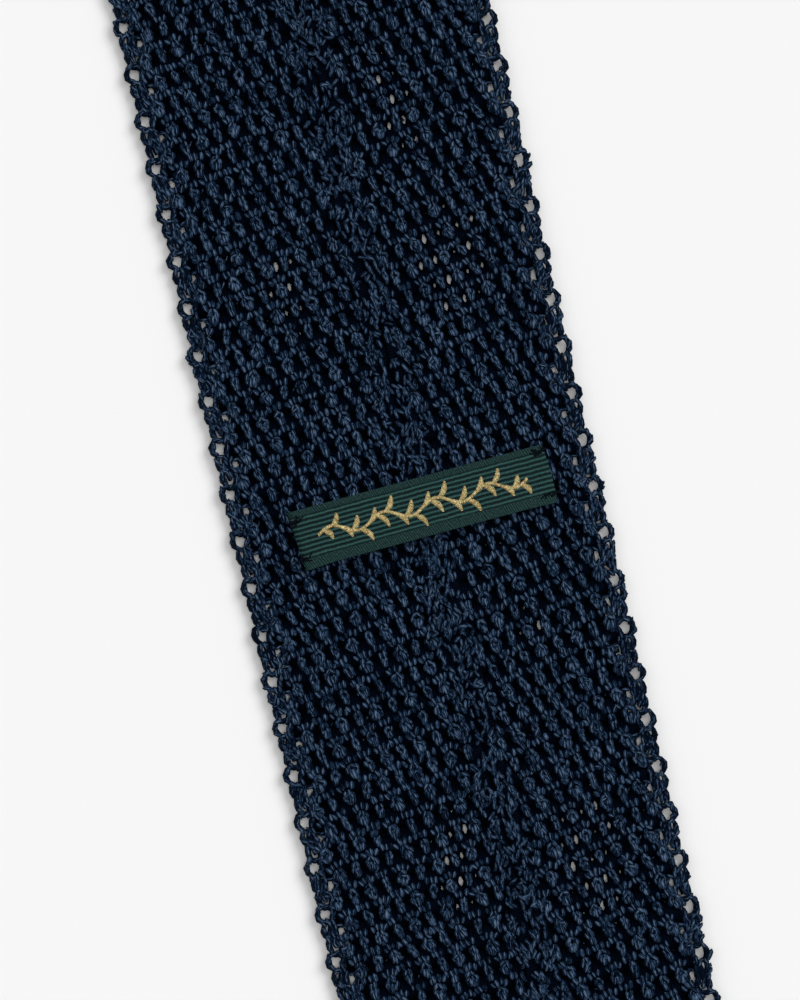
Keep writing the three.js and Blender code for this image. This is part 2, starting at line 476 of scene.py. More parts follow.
def spread(chart, sites, rng, looseness):
    """The rows of one chart at each site (x, y, turn, size), each bit of yarn a little astray."""
    unevenness = 0.10
    rows = np.repeat(np.array(chart)[None] * MM, len(sites), axis=0)
    rows[..., :BOW] += rng.normal(0, looseness, rows[..., :BOW].shape)
    for column in (RADIUS, TOP):
        rows[..., column] *= rng.normal(1, unevenness, rows.shape[:2])
    rows *= sites[:, 3][:, None, None]
    cosine, sine = np.cos(sites[:, 2])[:, None], np.sin(sites[:, 2])[:, None]
    for x, y in ((X0, Y0), (X1, Y1)):
        old_x, old_y = rows[..., x].copy(), rows[..., y].copy()
        rows[..., x] = sites[:, 0][:, None] + cosine * old_x - sine * old_y
        rows[..., y] = sites[:, 1][:, None] + sine * old_x + cosine * old_y
    return rows.reshape(-1, rows.shape[-1])


def short_bits(x, y, heading, reach, side=1):
    """Chart rows for bits of yarn centred on these places, each reaching both ways on its heading."""
    rows = np.zeros((len(x), TOP + 1))
    off_x = side * reach * np.cos(heading)
    off_y = reach * np.sin(heading)
    rows[:, X0], rows[:, X1] = x - off_x, x + off_x
    rows[:, Y0], rows[:, Y1] = y - off_y, y + off_y
    return rows


def wind(skein, ply, rows, rng, cluster=1, rings=4, sides=4):
    """Turns chart rows into strands on a ply. Those of one cluster are about equally light."""
    own_tint = 0.9
    shared_tint = 0.7
    lines = ply.lay(arches(rows, rings))
    tints = rng.normal(0, own_tint, len(rows))
    tints += np.repeat(rng.normal(0, shared_tint, len(rows) // cluster), cluster)
    skein.add(lines, taper(rows[:, RADIUS], rings), sides, tints, shares=stations(rings))


# Places of the stitches
END_MARGIN = 2.2 * MM
NECK_START = -0.45 * HALF_LENGTH
TAIL_START = 0.25 * HALF_LENGTH


def detailed_stretch(knit):
    """Both ends of the stretch in which the back has every stitch in full."""
    return RIBBON_Y - knit.detail_reach, RIBBON_Y + knit.detail_reach


def picot_count(knit):
    """How many picots fit along each side of the tie."""
    return round(2 * HALF_LENGTH / knit.picot_pitch)


def flap_slant(side, knit):
    return knit.left_slant if side < 0 else knit.right_slant


def row_place(side, row, inward, knit):
    """Where a row of one flap of the back is, so far in from the tips of its picots."""
    pitch = HALF_LENGTH / picot_count(knit)
    start = knit.row_above_picot - (0 if side < 0 else pitch)
    rise = flap_slant(side, knit) * (inward - knit.first_stitch) * -side
    y = -HALF_LENGTH + start + row * pitch + rise
    return side * (half_width(y) - inward), y


def back_rows(knit):
    """The numbers of the rows that reach any part of the back."""
    spare = 8
    return np.arange(-spare, 2 * picot_count(knit) + spare)


def all_sites(rows, columns):
    """The row and the column of every site."""
    return (numbers.ravel() for numbers in np.meshgrid(rows, columns, indexing="ij"))


def chosen_sites(chosen, x, y, column, slant):
    """Chosen sites short of the hems: x, y, whether each is a wide one, and its turn."""
    chosen = chosen & (np.abs(y) < HALF_LENGTH - END_MARGIN)
    turn = np.full(chosen.sum(), math.atan(slant))
    return x[chosen], y[chosen], (column % 2 == 0)[chosen], turn


def back_sites(side, knit, seam):
    """Stitch sites of one flap of the back, up to the seam."""
    seam_share = 0.42
    columns = np.arange(int(2 * BODY_HALF.max() / knit.stitch_pitch))
    row, column = all_sites(back_rows(knit), columns)
    inward = knit.first_stitch + (column + 0.5 * (row % 2)) * knit.stitch_pitch
    x, y = row_place(side, row, inward, knit)
    beside_seam = (seam_middle(y) - x) * -side > seam_share * seam.width
    return chosen_sites(beside_seam, x, y, column, flap_slant(side, knit))


def front_sites(knit):
    """Stitch sites of the front, whose columns run straight down the middle."""
    first_row = 1.2 * MM
    edge_share = 0.85
    picots = picot_count(knit)
    reach = int(BODY_HALF.max() / knit.stitch_pitch)
    row, column = all_sites(np.arange(-2, 2 * picots + 2), np.arange(-reach, reach + 1))
    x = (column + 0.5 * (row % 2)) * knit.stitch_pitch
    y = -HALF_LENGTH + first_row + row * HALF_LENGTH / picots + knit.front_slant * x
    inside = np.abs(x) < half_width(y) - edge_share * knit.first_stitch
    return chosen_sites(inside, x, y, column, knit.front_slant)


def shared_sites(own, knit, seam):
    """The front's sites, but those of the back in the thin spots, where the gaps of both line up."""
    thin = 0.1
    parts = [[column[thin_spots(own[0], own[1]) < thin] for column in own]]
    for side in (-1, 1):
        there = back_sites(side, knit, seam)
        parts.append([column[thin_spots(there[0], there[1]) >= thin] for column in there])
    return [np.concatenate(columns) for columns in zip(*parts)]


def between(sites, start, end):
    """The sites of one stretch of the tie."""
    here = (sites[1] >= start) & (sites[1] < end)
    return [column[here] for column in sites]


def thin_spots(x, y):
    """How far the knit is stretched open at a place, from 0 to 1."""
    fullest = 1.3
    open_here = np.zeros(np.shape(x))
    for spot_x, spot_y, half_wide, half_long in THIN_SPOTS:
        off_x = (x - spot_x * MM) / (half_wide * MM)
        off_y = (y - RIBBON_Y - spot_y * MM) / (half_long * MM)
        reach = off_x ** 2 + off_y ** 2
        open_here = np.maximum(open_here, np.clip(fullest - reach, 0, 1))
    return open_here


# Stitches
def stitch_places(x, y, turn, rng):
    """Sites (x, y, turn, size) for stitches, each a little turned and a little larger or smaller."""
    turn = turn + rng.normal(0, 0.10, len(x))
    size = rng.normal(1, 0.05, len(x)) * (1 - 0.10 * thin_spots(x, y))
    return np.stack([x, y, turn, size], axis=1)


def knit_full(skein, ply, sites, wide, rng, knit):
    """The raised stitches at these sites, every bit of yarn in them."""
    chart_of = rng.integers(0, 2 * len(WIDE_STITCHES), len(sites))
    for charts, chosen in ((WIDE_STITCHES, wide), (NARROW_STITCHES, ~wide)):
        for i, chart in enumerate(charts):
            chart = np.array(chart)
            for mirrored in (0, 1):
                # the height counts once for a chart as drawn, and twice for its mirror image
                chart[:, (Y0, Y1)] *= knit.stitch_height
                if mirrored:
                    chart[:, (X0, X1, BOW)] *= -1
                here = sites[chosen & (chart_of == 2 * i + mirrored)]
                wind(skein, ply, spread(chart, here, rng, knit.looseness), rng, len(chart))


def ground_full(skein, ply, sites, wide, rng, knit):
    """The low yarn under the raised stitches and between them."""
    for ground, chosen in ((WIDE_GROUND, wide), (NARROW_GROUND, ~wide)):
        wind(skein, ply, spread(ground, sites[chosen], rng, knit.looseness), rng)


def knit_far(skein, ply, x, y, wide, turn, rng, knit):
    """The plainer stitches away from the detailed stretch: one loop each, and a zigzag above it."""
    # painted light: the far stitches' tone is lifted, so that their coarse strands show as much lit yarn as
    # the full stitches
    painted_lift = 2.2
    rings = 4
    size = rng.normal(1, 0.045, len(x)) * (1 - 0.08 * thin_spots(x, y))
    sites = np.stack([x, y, turn + rng.normal(0, 0.06, len(x)), size], axis=1)
    for chart, chosen in ((FAR_WIDE, wide), (FAR_NARROW, ~wide)):
        rows = spread(chart, sites[chosen], rng, knit.looseness)
        tints = rng.normal(painted_lift, 1, len(rows))
        skein.add(ply.lay(arches(rows, rings)), taper(rows[:, RADIUS], rings), 3, tints)
    zigzags(skein, ply, x, y, turn, rng)


def zigzags(skein, ply, x, y, turn, rng):
    """A zigzag of yarn over each stitch, which stands in for the row of dashes above it."""
    radius = 0.43 * MM
    # painted light: a slight lift of the zigzags' tone, as for the far stitches
    painted_lift = 0.3
    across = np.array([-1.5, -0.75, 0.0, 0.75, 1.5]) * MM
    up = np.array([1.62, 2.42, 1.62, 2.42, 1.62]) * MM
    height = np.array([0.35, 0.95, 0.55, 0.95, 0.35]) * MM
    shape = (len(x), len(across))
    lines = np.stack([
        x[:, None] + across[None],
        y[:, None] + up[None] + np.tan(turn)[:, None] * across[None],
        np.broadcast_to(height, shape),
    ], axis=2)
    lines[..., 1] += rng.normal(0, 0.06 * MM, shape)
    radii = np.full(shape, radius) * (1 - 0.2 * thin_spots(x, y))[:, None]
    skein.add(ply.lay(lines), radii, 3, rng.normal(painted_lift, 1, len(x)))


# Materials
class Graph:
    """The nodes of one new material. Numbers, colours or other nodes' outputs go into each node."""

    def __init__(self, name, specular):
        self.material = bpy.data.materials.new(name)
        self.material.use_nodes = True
        self.tree = self.material.node_tree
        self.shader = self.tree.nodes["Principled BSDF"]
        self.shader.inputs["Specular IOR Level"].default_value = specular

    def feed(self, socket, value):
        """Wires a socket to an output, or sets it."""
        if isinstance(value, bpy.types.NodeSocket):
            self.tree.links.new(value, socket)
        else:
            socket.default_value = value

    def node(self, kind, output, **inputs):
        """One output of a new node, with its inputs by name."""
        node = self.tree.nodes.new(kind)
        for label, value in inputs.items():
            self.feed(node.inputs[label.replace("_", " ")], value)
        return node.outputs[output]

    def math(self, operation, *values, clamp=False):
        """The result of a math node."""
        node = self.tree.nodes.new("ShaderNodeMath")
        node.operation = operation
        node.use_clamp = clamp
        for socket, value in zip(node.inputs, values):
            self.feed(socket, value)
        return node.outputs[0]

    def remap(self, value, low, high, to_low=0.0, to_high=1.0):
        """A value stretched from one range to another."""
        ranges = {"From_Min": low, "From_Max": high, "To_Min": to_low, "To_Max": to_high}
        return self.node("ShaderNodeMapRange", "Result", Value=value, **ranges)

    def noise(self, place, scale, detail, roughness=0.5):
        """Clouds of noise."""
        steps = {"Scale": scale, "Detail": detail, "Roughness": roughness}
        return self.node("ShaderNodeTexNoise", "Fac", Vector=place, **steps)

    def place(self, label):
        """The place on a UV map, and its two coordinates."""
        uv = self.tree.nodes.new("ShaderNodeUVMap")
        uv.uv_map = label
        parts = self.tree.nodes.new("ShaderNodeSeparateXYZ")
        self.feed(parts.inputs["Vector"], uv.outputs["UV"])
        return uv.outputs["UV"], parts.outputs["X"], parts.outputs["Y"]

    def attribute(self, label):
        """A value that the mesh holds at each corner."""
        node = self.tree.nodes.new("ShaderNodeAttribute")
        node.attribute_name = label
        return node.outputs["Fac"]

    def blend(self, factor, first, second):
        """A mix of two colours."""
        node = self.tree.nodes.new("ShaderNodeMix")
        node.data_type = "RGBA"
        node.inputs["A"].default_value = (*first, 1)
        node.inputs["B"].default_value = (*second, 1)
        self.feed(node.inputs["Factor"], factor)
        return node.outputs["Result"]

    def ramp(self, factor, start, stop, middle, middle_at):
        """A colour between a start and a stop by way of a middle."""
        node = self.tree.nodes.new("ShaderNodeValToRGB")
        stops = node.color_ramp.elements
        stops[0].color = (*start, 1)
        stops[1].color = (*stop, 1)
        stops.new(middle_at).color = (*middle, 1)
        self.feed(node.inputs["Fac"], factor)
        return node.outputs["Color"]

    def finish(self, colour, roughness, height=None, strength=1.0, depth=0.0):
        """Feeds the shader its colour, roughness and relief, and gives the material."""
        self.feed(self.shader.inputs["Base Color"], colour)
        self.feed(self.shader.inputs["Roughness"], roughness)
        if height is not None:
            relief = {"Strength": strength, "Distance": depth, "Height": height}
            self.feed(self.shader.inputs["Normal"], self.node("ShaderNodeBump", "Normal", **relief))
        return self.material


def silk(name, dark, middle, light):
    """Plied silk yarn: streaks of fibre along each strand, with painted light on its crown and painted shade
    down its sides and towards its ends.
    """
    plies = 6
    turns_to_a_millimetre = 0.70
    graph = Graph(name, specular=0.18)
    graph.shader.inputs["Specular Tint"].default_value = (0.25, 0.50, 1.0, 1)
    _, along, around = graph.place("Yarn")
    tint = graph.attribute("tint")

    # the plies wind slowly round the strand
    twist = graph.math("MULTIPLY", along, 2 * math.pi * turns_to_a_millimetre)
    phase = graph.math("MULTIPLY_ADD", around, 2 * math.pi * plies, twist)
    wound = graph.remap(graph.math("SINE", phase), -1, 1)

    # loose fibres, drawn out along the strand
    own = graph.math("MULTIPLY", tint, 9.0)
    strand = graph.node("ShaderNodeCombineXYZ", "Vector", X=along, Y=around, Z=own)
    drawn_out = graph.node("ShaderNodeMapping", "Vector", Vector=strand, Scale=(1.1, 4.5, 1.0))
    streaks = graph.remap(graph.noise(drawn_out, 1.6, 3.0, 0.6), 0.40, 0.60)
    relief = graph.math("MULTIPLY_ADD", streaks, 0.60, graph.math("MULTIPLY", wound, 0.40))

    # each strand is a little lighter or darker than the next
    contrast = graph.remap(relief, 0.26, 0.82)
    tone = graph.math("MULTIPLY_ADD", tint, 0.13, contrast, clamp=True)

    # painted shade and light: the sides and the ends of a strand are painted darker, as if sunk into the
    # shade of its neighbours, and its crown lighter, as if lit
    lift = graph.math("SINE", graph.math("MULTIPLY", around, 2 * math.pi))
    painted_side_shade = graph.math("POWER", graph.math("ABSOLUTE", lift), 1.5)
    crown = graph.math("SINE", graph.math("MULTIPLY", graph.attribute("share"), math.pi))
    painted_light = graph.math("MULTIPLY", painted_side_shade, graph.math("POWER", crown, 1.1))
    painted_light_and_tone = graph.math("MULTIPLY", painted_light, tone)
    # the colour runs from the painted shade in the gaps, through the yarn's own colour, to the fibre streaks
    # and painted sheen of a lit crown
    colour = graph.ramp(painted_light_and_tone, dark, light, middle, 0.35)
    roughness = graph.remap(painted_light_and_tone, 0.0, 1.0, 0.95, 0.42)
    return graph.finish(colour, roughness, relief, 0.8, 0.10 * MM)


def yarn_silk():
    """The navy silk, made once for every knitted piece."""
    found = bpy.data.materials.get("navy_silk_yarn")
    knit = bpy.context.scene.tie_knit
    return found or silk("navy_silk_yarn", knit.painted_shade_colour, knit.yarn_colour, knit.plies_and_painted_sheen_colour)


def painted_shade_silk():
    """The same silk painted nearly black, a painted shade for deep in the cloth where hardly any light
    reaches, made once.
    """
    found = bpy.data.materials.get("navy_silk_painted_shade")
    if found:
        return found
    graph = Graph("navy_silk_painted_shade", specular=0.02)
    place, _, _ = graph.place("Yarn")
    stripes = graph.node("ShaderNodeTexWave", "Fac", Vector=place, Scale=0.6, Distortion=1.5)
    return graph.finish(graph.blend(stripes, (0.0001, 0.0006, 0.0028), (0.0006, 0.0024, 0.0070)), 0.9)


def lay_sheet(piece, y_from, y_to, flap=False):
    """Works out the widths of a stretch of the knitted cloth inside its picots, one flap of it or the whole
    front, and keeps nothing.
    """
    picot_reach = 3.3 * MM
    half_seam = 2.6 * MM
    y = np.linspace(y_from, y_to, 200)
    widths = half_width(y) - picot_reach
    widths = widths - half_seam if flap else 2 * widths


class TIE_OT_knit_back(bpy.types.Operator):
    """Knits the two flaps of the back, every stitch in full near the ribbon"""

    bl_idname = "tie.knit_back"
    bl_label = "Knit Back"

    def execute(self, context):
        knit, seam = context.scene.tie_knit, context.scene.tie_seam
        low, high = detailed_stretch(knit)
        stretches = (
            ("wide_end_back", -HALF_LENGTH, low, False),
            ("ribbon_back", low, high, True),
            ("neck_back", high, TAIL_START, False),
            ("tail_back", TAIL_START, HALF_LENGTH, False),
        )
        for side, flap in ((-1, "left"), (1, "right")):
            sites = back_sites(side, knit, seam)
            for name, start, end, full in stretches:
                rng = np.random.default_rng(100 + int(1000 * start) % 97 + side)
                x, y, wide, turn = between(sites, start, end)
                skein = Skein()
                if full:
                    places = stitch_places(x, y, turn, rng)
                    knit_full(skein, BACK, places, wide, rng, knit)
                    ground = Skein()
                    ground_full(ground, BACK, places, wide, rng, knit)
                    ground.build(f"{name}_ground_{flap}", yarn_silk())
                else:
                    knit_far(skein, BACK, x, y, wide, turn, rng, knit)
                piece = skein.build(f"{name}_{flap}", yarn_silk())
                lay_sheet(piece, start, end, flap=True)
        return {"FINISHED"}


class TIE_OT_inner_rows(bpy.types.Operator):
    """Lays the rows of yarn that close the knit behind its stitches, in silk painted nearly black as shade"""

    bl_idname = "tie.inner_rows"
    bl_label = "Inner Rows"

    # half a row's width as a share of the row pitch, and its thickness as a share of its width
    half_share = 0.54
    flatness = 0.16
    # how far in from the picots the rows start: by turns in the detailed stretch, and elsewhere
    detailed_starts = (4.7 * MM, 3.3 * MM)
    far_start = 2.5 * MM
    # rings along a row: where it closes the knit, far from the ribbon, and where it is opened
    rings = 9
    far_rings = 6
    opened_rings = 150
    # a gap between two stitches: how far off their middle it lies, half its width, its least half
    # length and how much that grows where the knit is stretched
    gap_aside = 0.20 * MM
    gap_half_width = 0.38 * MM
    gap_least = 0.16 * MM
    gap_growth = 0.85 * MM

    def execute(self, context):
        knit = context.scene.tie_knit
        rng = np.random.default_rng(31)
        skein = Skein()
        rows = back_rows(knit)
        past_seam = 1.2 * MM
        tail_margin = 4 * MM
        least_opening = 0.05
        fine_from = 0.01
        for side in (-1, 1):
            start = np.where(rows % 2 == 0, *self.detailed_starts)
            _, y = row_place(side, rows, start, knit)
            start = np.where(self.near(y, knit), start, self.far_start)
            end = half_width(y) - side * seam_middle(y) + past_seam
            _, far_y = row_place(side, rows, end, knit)
            kept = np.maximum(y, far_y) > -HALF_LENGTH
            kept &= np.minimum(y, far_y) < HALF_LENGTH - tail_margin
            rows_here, start, end = rows[kept], start[kept], end[kept]
            fine = start[:, None] + (end - start)[:, None] * np.linspace(0, 1, self.opened_rings)
            x, y = row_place(side, rows_here[:, None], fine, knit)
            open_here = thin_spots(x, y + 0.5 * knit.row_pitch)
            is_open = open_here.max(axis=1) > least_opening
            near = self.near(y.mean(axis=1), knit)
            for chosen, rings in ((~is_open & near, self.rings), (~is_open & ~near, self.far_rings)):
                inward = start[chosen, None] + (end - start)[chosen, None] * np.linspace(0, 1, rings)
                self.plain(skein, side, rows_here[chosen], inward, knit, rng)
            for row, inward, opened in zip(rows_here[is_open], fine[is_open], open_here[is_open]):
                kept = opened > fine_from
                kept[::self.rings] = True
                self.opened(skein, side, row, inward[kept], knit)
        skein.build("inner_rows", painted_shade_silk())
        return {"FINISHED"}

    def near(self, y, knit):
        """Whether a row is in the detailed stretch."""
        return np.abs(y - RIBBON_Y) < knit.detail_reach

    def plain(self, skein, side, rows, inward, knit, rng):
        """Rows that close the knit altogether."""
        hem = 3.0 * MM
        x, y = row_place(side, rows[:, None], inward, knit)
        y = y + 0.5 * knit.row_pitch + rng.normal(0, 0.10 * MM, x.shape)
        y = np.clip(y, hem - HALF_LENGTH, HALF_LENGTH - hem)
        lines = np.stack([x, y, MIDDLE_Z + 0.12 * MM * np.sin(4000 * x)], axis=2)
        wide = np.full(x.shape, self.half_share * knit.row_pitch)
        skein.add(lines, wide, 4, np.zeros(len(x)), self.flatness, heading=(-side, 0.0, 0.0))

    def opened(self, skein, side, row, inward, knit):
        """A row that draws in beside each gap between two stitches, and lets the floor show."""
        x, y = row_place(side, row, inward, knit)
        low = self.gap(x, y, row, inward, knit)
        high = self.gap(x, y + knit.row_pitch, row + 1, inward, knit)
        wide = self.half_share * knit.row_pitch - np.maximum(low, high)
        line = np.stack([x, y + 0.5 * knit.row_pitch, np.full(len(x), MIDDLE_Z)], axis=1)
        skein.add(line[None], wide[None], 4, np.zeros(1), self.flatness, heading=(-side, 0.0, 0.0))

    def gap(self, x, y, row, inward, knit):
        """How far a row draws back from the middle of the stitches of the given row."""
        place = (inward - knit.first_stitch) / knit.stitch_pitch - 0.5 * (row % 2) - 0.5
        nearest = np.round(place)
        aside = self.gap_aside * np.cos(math.pi * nearest)
        unevenness = 0.70 + 0.30 * np.sin(7.3 * row + 4.1 * nearest)
        size = unevenness * np.clip(2.0 * thin_spots(x, y), 0.05, 1)
        off = ((place - nearest) * knit.stitch_pitch - aside) / (self.gap_half_width * size)
        oval = np.sqrt(np.clip(1 - off ** 2, 0, 1))
        return (self.gap_least + self.gap_growth * size) * oval


class TIE_OT_knit_front(bpy.types.Operator):
    """Knits the front, which lies on the floor"""

    bl_idname = "tie.knit_front"
    bl_label = "Knit Front"

    def execute(self, context):
        knit, seam = context.scene.tie_knit, context.scene.tie_seam
        sites = shared_sites(front_sites(knit), knit, seam)
        rng = np.random.default_rng(7)
        for name, start, end in (
            ("wide_end_front", -HALF_LENGTH, NECK_START),
            ("neck_front", NECK_START, TAIL_START),
            ("tail_front", TAIL_START, HALF_LENGTH),
        ):
            skein = Skein()
            knit_far(skein, FRONT, *between(sites, start, end), rng, knit)
            lay_sheet(skein.build(name, yarn_silk()), start, end)
        return {"FINISHED"}


class TIE_OT_picot_edges(bpy.types.Operator):
    """Works the looped edges down both sides"""

    bl_idname = "tie.picot_edges"
    bl_label = "Picot Edges"

    def execute(self, context):
        knit = context.scene.tie_knit
        picots = picot_count(knit)
        pitch = 2 * HALF_LENGTH / picots
        for side, name in ((-1, "left_picot_edge"), (1, "right_picot_edge")):
            rng = np.random.default_rng(40 + side)
            start = 0.0 if side < 0 else 0.5
            places = -HALF_LENGTH + (np.arange(picots) + start) * pitch
            full = np.abs(places - RIBBON_Y) < knit.detail_reach + pitch
            skein = Skein()
            for strands, chosen, sides, faces in (
                (PICOT_STRANDS, places[full], 5, (1, -1)),
                (FAR_PICOT_STRANDS, places[~full], 3, (0,)),
            ):
                for radius, points in strands:
                    for face in faces:
                        self.work(skein, side, chosen, np.array(points) * MM, radius * MM, sides, face, rng)
            self.twists(skein, side, places[full], rng)
            skein.build(name, yarn_silk())
        return {"FINISHED"}

    def work(self, skein, side, places, points, radius, sides, face, rng):
        """One strand of the picot at every place, on one face of the tie or between both."""
        unevenness = 0.06 * MM
        end_margin = 0.4 * MM
        off_middle = 0.15 * MM
        # painted shade: the picot strands are painted much darker than the knit, for the shade that the edge
        # strands would take from one another
        tint = -5
        lines = np.repeat(points[None], len(places), axis=0)
        lines = lines + rng.normal(0, unevenness, lines.shape)
        along = places[:, None] + lines[..., 1]
        kept = np.abs(along).max(axis=1) < HALF_LENGTH - end_margin
        lines, along = lines[kept], along[kept]
        across = side * (half_width(along) - lines[..., 0])
        up = MIDDLE_Z + face * (off_middle + lines[..., 2])
        radii = taper(np.full(len(lines), radius), lines.shape[1])
        skein.add(np.stack([across, along, up], axis=2), radii, sides, rng.normal(tint, 1, len(lines)))

    def twists(self, skein, side, places, rng):
        """Short bulging turns of yarn all over the strands of the picots."""
        first, spacing, ahead = 0.45, 0.95, 0.2
        turns = []
        for radius, points in PICOT_STRANDS:
            points = np.array(points)[:, :2]
            along = distances(points)
            for at in np.arange(first, along[-1] - ahead, spacing):
                here, there = (
                    [np.interp(spot, along, points[:, k]) for k in (0, 1)] for spot in (at, at + ahead))
                turns.append((*here, math.atan2(there[1] - here[1], there[0] - here[0]), radius))
        u, v, heading, radius = (np.tile(column, len(places)) for column in np.array(turns).T)
        count = len(u)
        y = np.repeat(places, len(turns)) + v * MM
        u = u * MM + rng.normal(0, 0.10, count) * MM
        y = y + rng.normal(0, 0.14, count) * MM
        heading = heading + rng.normal(0.3, 0.30, count)
        reach = rng.uniform(0.55, 0.85, count) * MM
        rows = short_bits(side * (half_width(y) - u), y, heading, reach, -side)
        rows[:, BOW] = rng.normal(0, 0.10, count) * MM
        rows[:, RADIUS] = rng.normal(0.66, 0.08, count) * radius * MM
        rows[:, TOP] = rng.normal(0.72, 0.14, count) * MM
        wind(skein, BACK, rows, rng)


class TIE_OT_end_hems(bpy.types.Operator):
    """Closes both ends of the tube with a narrow sewn hem"""

    bl_idname = "tie.end_hems"
    bl_label = "End Hems"

    # for each cord across the hem, in millimetres: in from the end, its radius and its rise
    cords = (
        (0.75, 0.70, 0.0),
        (1.9, 0.65, 0.45),
        (1.9, 0.65, -0.45),
    )
    # how far in from the end both rows of sewn turns lie, and how many there are to a millimetre
    turn_rows = (0.9, 2.2)
    density = 2.6

    def execute(self, context):
        rng = np.random.default_rng(61)
        skein = Skein()
        side_margin = 0.8 * MM
        for way in (-1, 1):
            half = half_width(way * HALF_LENGTH) - side_margin
            t = np.linspace(-1, 1, 40)
            for inward, radius, rise in self.cords:
                x = t * (half + 0.2 * MM * rng.normal())
                y = way * (HALF_LENGTH - inward * MM) + rng.normal(0, 0.08 * MM, len(t))
                line = np.stack([x, y, np.full(len(t), MIDDLE_Z + rise * MM)], axis=1)
                skein.add(line[None], np.full((1, len(t)), radius * MM), 5, np.array([-1.5]))
            for ply in (BACK, FRONT):
                count = int(half / MM * self.density)
                x = np.linspace(-half, half, count) + rng.normal(0, 0.1 * MM, count)
                for inward in self.turn_rows:
                    y = way * (HALF_LENGTH - inward * MM) + rng.normal(0, 0.12 * MM, count)
                    self.turns(skein, ply, x, y, rng)
        skein.build("end_hems", yarn_silk())
        return {"FINISHED"}

    def turns(self, skein, ply, x, y, rng):
        """The sewn turns of yarn that wrap the hem."""
        heading = -math.pi / 2 + rng.normal(0.35, 0.25, len(x))
        rows = short_bits(x, y, heading, 0.62 * MM)
        rows[:, RADIUS] = rng.normal(0.32, 0.03, len(x)) * MM
        rows[:, TOP] = rng.normal(0.95, 0.10, len(x)) * MM
        wind(skein, ply, rows, rng)


class TIE_OT_back_seam(bpy.types.Operator):
    """Splays the strands of the centre back seam over a plain core"""

    bl_idname = "tie.back_seam"
    bl_label = "Centre Back Seam"

    def execute(self, context):
        knit, seam = context.scene.tie_knit, context.scene.tie_seam
        rng = np.random.default_rng(5)
        low, high = detailed_stretch(knit)
        end = HALF_LENGTH - 2 * MM
        far_share = 0.46
        skein = Skein()
        self.splay(skein, low, high, seam.density, 4, 0.36, seam, rng)
        for start, stop in ((-end, low), (high, end)):
            self.splay(skein, start, stop, seam.density * far_share, 3, 0.52, seam, rng)
        skein.build("centre_seam_strands", yarn_silk(), "centre_back_seam")
        core = Skein()
        self.core(core, end)
        # the core takes the silk painted nearly black, a painted shade under the strands
        core.build("centre_seam_core", painted_shade_silk(), "centre_back_seam")
        return {"FINISHED"}

    def splay(self, skein, start, stop, density, fineness, radius, seam, rng):
        """Short bits of yarn strewn along the seam, mostly lengthwise."""
        count = int((stop - start) * density)
        y = rng.uniform(start, stop, count)
        off = rng.uniform(-0.52, 0.52, count) * seam.width
        heading = math.pi / 2 + rng.normal(0, 0.48, count)
        reach = rng.uniform(0.65, 1.15, count) * MM
        rows = short_bits(seam_middle(y) + off, y, heading, reach)
        rows[:, BOW] = rng.normal(0, 0.22, count) * MM
        rows[:, RADIUS] = rng.normal(radius, radius * 0.16, count) * MM
        crown = 1 - (2 * off / seam.width) ** 2
        rows[:, TOP] = (0.45 + 0.65 * crown + rng.normal(0, 0.15, count)).clip(0.2, 1.4) * MM
        wind(skein, SEAM_PLY, rows, rng, rings=fineness, sides=fineness)

    def core(self, skein, end):
        """The dense middle of the seam under its strands: two flat cords side by side."""
        rings = 300
        radius = 1.6 * MM
        flatness = 0.3
        y = np.linspace(-end, end, rings)
        height = np.full(rings, MIDDLE_Z + 0.5 * MM)
        for off in (-1.5, 1.5):
            line = np.stack([seam_middle(y) + off * MM, y, height], axis=1)
            skein.add(line[None], np.full((1, rings), radius), 6, np.zeros(1), flatness)


# The keeper ribbon: its hems and folds, its height over the cloth, its arch over the seam and its
# ribs, which lie between two flat selvedges. Across it, its bottom edge is at -1 and its top at 1.
HEM = 5 * MM
FOLD = 0.5 * MM
RIBBON_BASE = RIBBON_LOW[2] + 2 * FOLD + 0.05 * MM
ARCH = 0.55 * MM
RIB_HEIGHT = 0.09 * MM
RIBS = 9
LOW_SELVEDGE = -1 + 2 * 0.17
HIGH_SELVEDGE = 1 - 2 * 0.11


def turned(x, y, z, sizes):
    """Places in the frame, of places measured from the ribbon's middle."""
    cosine, sine = math.cos(sizes.tilt), math.sin(sizes.tilt)
    return np.stack([RIBBON_X + x * cosine - y * sine, RIBBON_Y + x * sine + y * cosine, z], axis=-1)


def on_ribbon(x, y, lift, sizes):
    """A place on the ribbon's top face, or a lift above it."""
    crown = 1 - (x / (sizes.length / 2)) ** 2
    return turned(x, y, RIBBON_BASE + ARCH * crown + RIB_HEIGHT + lift, sizes)


